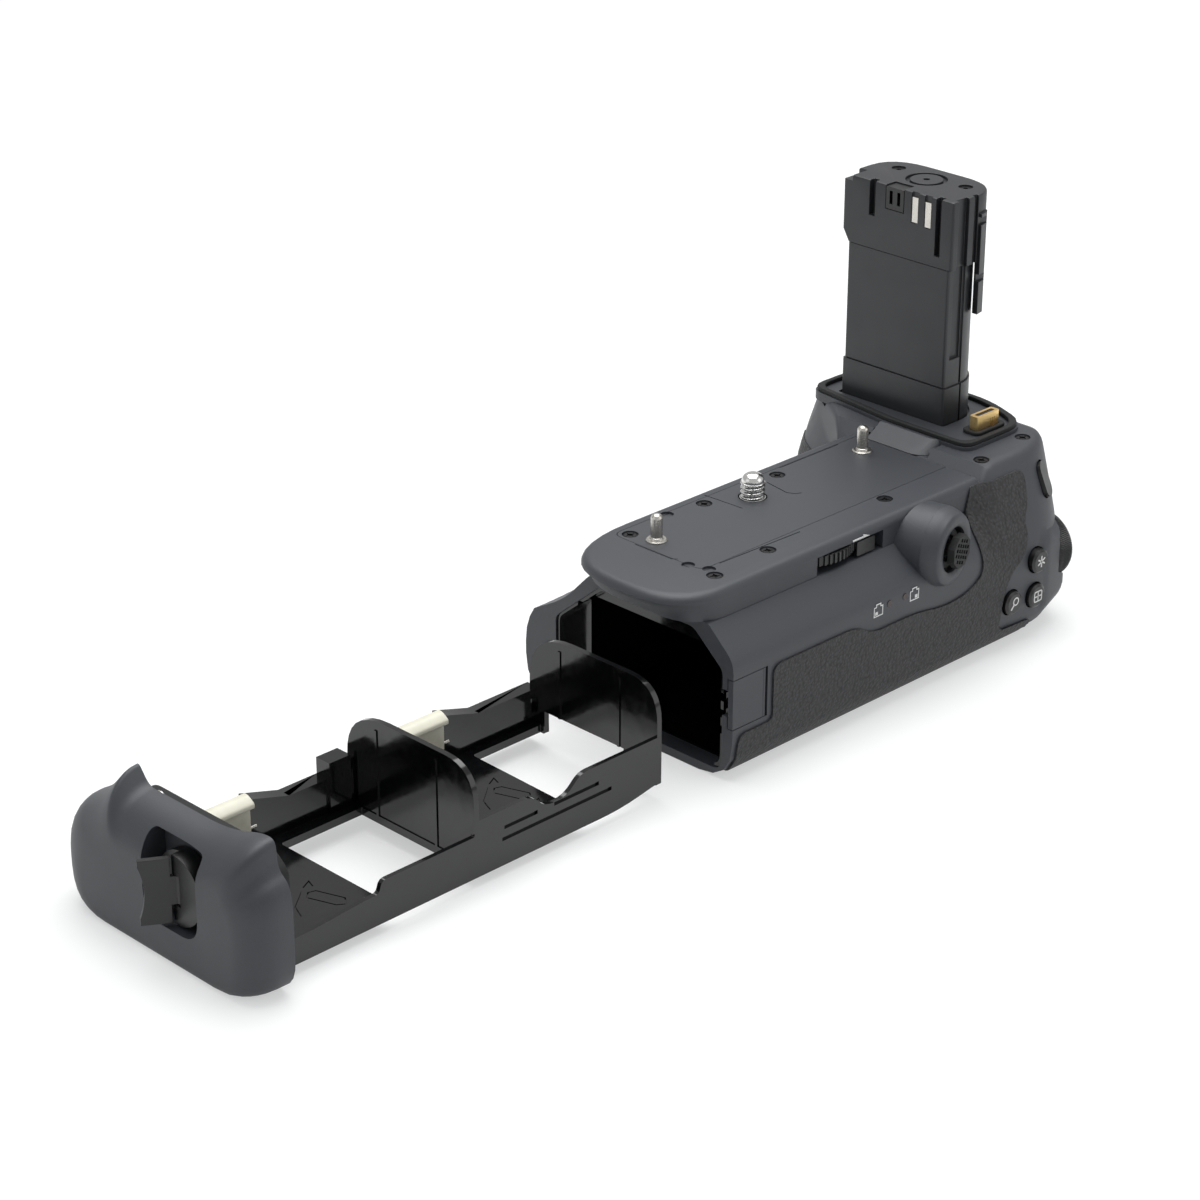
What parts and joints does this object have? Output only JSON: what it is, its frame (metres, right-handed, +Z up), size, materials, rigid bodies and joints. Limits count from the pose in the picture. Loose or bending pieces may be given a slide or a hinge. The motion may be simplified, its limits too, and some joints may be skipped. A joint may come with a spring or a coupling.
{
  "type": "camera battery grip",
  "caption": "Vertical battery grip that screws under a mirrorless camera, with its power tower, its controls and its battery magazine drawn out at the end.",
  "frame": {"origin": "On the flat base, straight below the axis of the camera screw", "axes": "+X along the grip to the end with the controls, -Y to the viewer, +Z up along the camera screw"},
  "size_m": [0.2944, 0.0887, 0.1127],
  "materials": {
    "shell_plastic": "fine textured dark charcoal moulding",
    "plate_plastic": "smooth matt dark grey",
    "grip_rubber": "pebbled dark rubber",
    "black_rubber": "matt black",
    "gloss_black": "polished black",
    "control_plastic": "satin black",
    "tower_plastic": "satin dark grey",
    "steel": "bright",
    "gold": "polished gold plate",
    "cream_plastic": "smooth cream",
    "black_steel": "black oxide",
    "lamp_red": "dark translucent red"
  },
  "bodies": {
    "housing": {"main_case": "shell_plastic", "chamber_liner": "gloss_black", "chamber_contacts": "gold", "top_cover": "shell_plastic", "mounting_plate": "plate_plastic", "plate_screws": "black_steel", "locating_pins": "steel", "platform": "shell_plastic", "tower_gasket": "black_rubber", "tower_base": "black_rubber", "tower_body": "tower_plastic", "tower_head": "tower_plastic", "tower_terminal": "tower_plastic", "tower_contacts": "steel", "tower_rail": "tower_plastic", "tower_screws": "steel", "contact_plug": "gold", "plug_seal": "black_rubber", "rear_leather": "grip_rubber", "front_leather": "grip_rubber", "charge_lamps": "lamp_red", "joystick_boss": "shell_plastic", "tripod_socket": "steel", "base_screws": "black_steel", "lock_wheel_pin": "steel", "rear_dial_axle": "steel", "main_dial_axle": "steel", "shutter_collar": "shell_plastic"},
    "magazine": {"tray": "gloss_black", "lever_pins": "steel", "end_cap": "shell_plastic", "cap_seal": "black_rubber", "cap_screws": "steel"},
    "bay_lever_left_body": {"bay_lever_left": "cream_plastic"},
    "bay_lever_right_body": {"bay_lever_right": "cream_plastic"},
    "latch": {"latch_knob": "control_plastic", "latch_cam": "steel", "latch_pin": "steel"},
    "latch_lever_body": {"latch_lever": "control_plastic"},
    "screw": {"camera_screw": "steel"},
    "wheel": {"lock_wheel": "control_plastic"},
    "gimbal": {"joystick_gimbal": "control_plastic"},
    "stick": {"joystick_stem": "control_plastic", "joystick_cap": "black_rubber"},
    "lock_button_body": {"lock_button": "control_plastic"},
    "frame_button_body": {"frame_button": "control_plastic"},
    "zoom_button_body": {"zoom_button": "control_plastic"},
    "focus_button_body": {"focus_button": "control_plastic"},
    "shutter_button_body": {"shutter_button": "control_plastic"},
    "multi_button_body": {"multi_button": "control_plastic"},
    "power_switch_body": {"power_switch": "control_plastic"},
    "rear_dial_body": {"rear_dial": "control_plastic"},
    "main_dial_body": {"main_dial": "control_plastic"},
    "cord_cover_body": {"cord_cover": "black_rubber"}
  },
  "joints": [
    {"name": "magazine_slide", "type": "slide", "parent": "housing", "child": "magazine", "axis": [1, 0, 0], "range_m": [0, 0.136]},
    {"name": "bay_lever_left_tilt", "type": "hinge", "parent": "magazine", "child": "bay_lever_left_body", "pos_m": [-0.167, 0.0074, 0.011], "axis": [1, 0, 0], "range_deg": [-8, 0], "stiffness_Nm_per_rad": 0.02, "springref_deg": 2.86},
    {"name": "bay_lever_right_tilt", "type": "hinge", "parent": "magazine", "child": "bay_lever_right_body", "pos_m": [-0.1075, 0.0074, 0.011], "axis": [1, 0, 0], "range_deg": [-8, 0], "stiffness_Nm_per_rad": 0.02, "springref_deg": 2.86},
    {"name": "latch_turn", "type": "hinge", "parent": "magazine", "child": "latch", "pos_m": [-0.192, -0.0138, 0.0184], "axis": [1, 0, 0], "range_deg": [0, 90]},
    {"name": "latch_fold", "type": "hinge", "parent": "latch", "child": "latch_lever_body", "pos_m": [-0.1962, -0.0138, 0.0184], "axis": [0, 0, 1], "range_deg": [-30, 32]},
    {"name": "lock_wheel_turn", "type": "hinge", "parent": "housing", "child": "wheel", "pos_m": [-0.00509, -0.0196, 0.0424], "axis": [0, 0, 1], "continuous": true},
    {"name": "camera_screw_turn", "type": "hinge", "parent": "housing", "child": "screw", "pos_m": [0, 0, 0.0424], "axis": [0, 0, 1], "continuous": true},
    {"name": "joystick_sideways", "type": "hinge", "parent": "housing", "child": "gimbal", "pos_m": [0.02823, -0.04084, 0.0372], "axis": [0, 0, 1], "range_deg": [-12, 12], "stiffness_Nm_per_rad": 0.02},
    {"name": "joystick_upright", "type": "hinge", "parent": "gimbal", "child": "stick", "pos_m": [0.02823, -0.04084, 0.0372], "axis": [0.9781, 0.2079, 0], "range_deg": [-12, 12], "stiffness_Nm_per_rad": 0.02},
    {"name": "lock_button_press", "type": "slide", "parent": "housing", "child": "lock_button_body", "axis": [0, 1, 0], "range_m": [0, 0.0008], "stiffness_N_per_m": 400, "springref_m": -0.0005},
    {"name": "frame_button_press", "type": "slide", "parent": "housing", "child": "frame_button_body", "axis": [0, 1, 0], "range_m": [0, 0.0008], "stiffness_N_per_m": 400, "springref_m": -0.0005},
    {"name": "zoom_button_press", "type": "slide", "parent": "housing", "child": "zoom_button_body", "axis": [0, 1, 0], "range_m": [0, 0.0008], "stiffness_N_per_m": 400, "springref_m": -0.0005},
    {"name": "focus_button_press", "type": "slide", "parent": "housing", "child": "focus_button_body", "axis": [-0.3822, 0.8585, -0.342], "range_m": [0, 0.0008], "stiffness_N_per_m": 400, "springref_m": -0.0005},
    {"name": "shutter_button_press", "type": "slide", "parent": "housing", "child": "shutter_button_body", "axis": [-0.788, -0.6157, 0], "range_m": [0, 0.0008], "stiffness_N_per_m": 400, "springref_m": -0.0005},
    {"name": "multi_button_press", "type": "slide", "parent": "housing", "child": "multi_button_body", "axis": [-1, 0, 0], "range_m": [0, 0.0008], "stiffness_N_per_m": 400, "springref_m": -0.0005},
    {"name": "power_switch_turn", "type": "hinge", "parent": "housing", "child": "power_switch_body", "pos_m": [0.088, -0.009, 0.034], "axis": [1, 0, 0], "range_deg": [0, 40]},
    {"name": "rear_dial_turn", "type": "hinge", "parent": "housing", "child": "rear_dial_body", "pos_m": [0.0796, -0.0319, 0.0194], "axis": [1, 0, 0], "continuous": true},
    {"name": "main_dial_turn", "type": "hinge", "parent": "housing", "child": "main_dial_body", "pos_m": [0.079, 0.015, 0.022], "axis": [0, 1, 0], "continuous": true},
    {"name": "cord_cover_swing", "type": "hinge", "parent": "housing", "child": "cord_cover_body", "pos_m": [-0.0404, -0.0412, 0.021], "axis": [0, 0, 1], "range_deg": [0, 75]}
  ],
  "couplings": [
    {"joint": "camera_screw_turn", "follows": "lock_wheel_turn", "ratio": -1}
  ]
}
